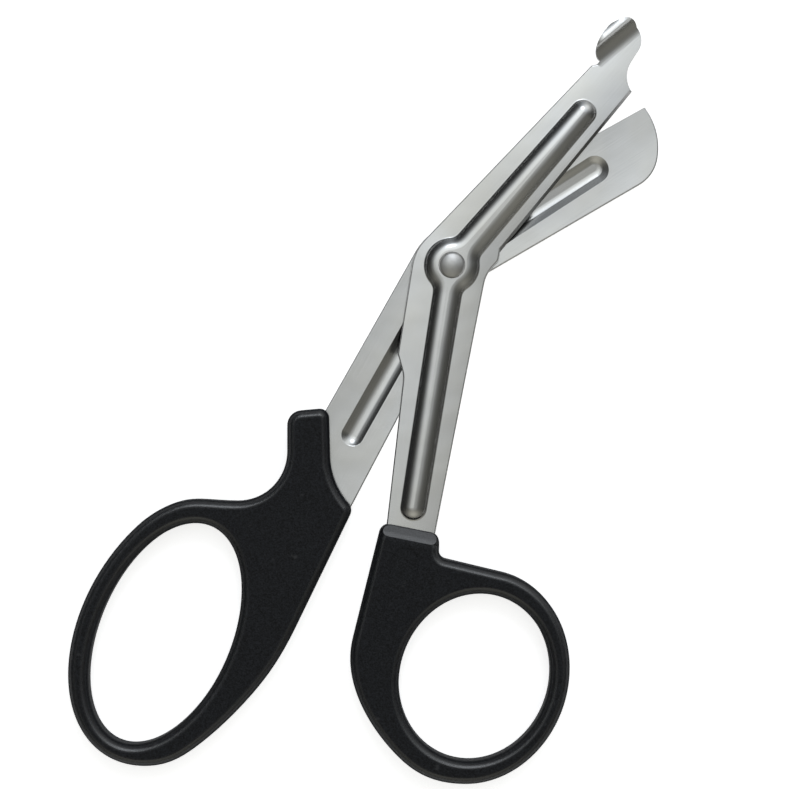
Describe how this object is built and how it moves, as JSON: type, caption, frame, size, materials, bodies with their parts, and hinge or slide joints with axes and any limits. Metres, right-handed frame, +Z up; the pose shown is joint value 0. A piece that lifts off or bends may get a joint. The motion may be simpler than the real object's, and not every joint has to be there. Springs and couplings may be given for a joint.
{
  "type": "bandage scissors",
  "caption": "Angled bandage shears with ribbed stamped steel blades on a rivet, a blunt spoon tip that slides under dressings, and black moulded loop handles for thumb and fingers.",
  "frame": {"origin": "on the pivot axis, in the plane that the foot of the rivet and both handles rest on", "axes": "+Z up along the rivet, out of the resting plane; +Y along the object's length from the handles towards the blades; +X to the side that the blades lean to"},
  "size_m": [0.1268, 0.1641, 0.008],
  "materials": {
    "stainless_steel": "satin",
    "rivet_steel": "tumbled satin",
    "black_plastic": "fine moulded grain"
  },
  "bodies": {
    "front_half": {"front_blade": "stainless_steel", "thumb_handle": "black_plastic", "pivot_rivet": "rivet_steel"},
    "rear_half": {"rear_blade": "stainless_steel", "finger_handle": "black_plastic"}
  },
  "joints": [
    {"name": "pivot", "type": "hinge", "parent": "front_half", "child": "rear_half", "pos_m": [0, 0, 0.004], "axis": [0, 0, -1], "range_deg": [-6.6, 60]}
  ]
}
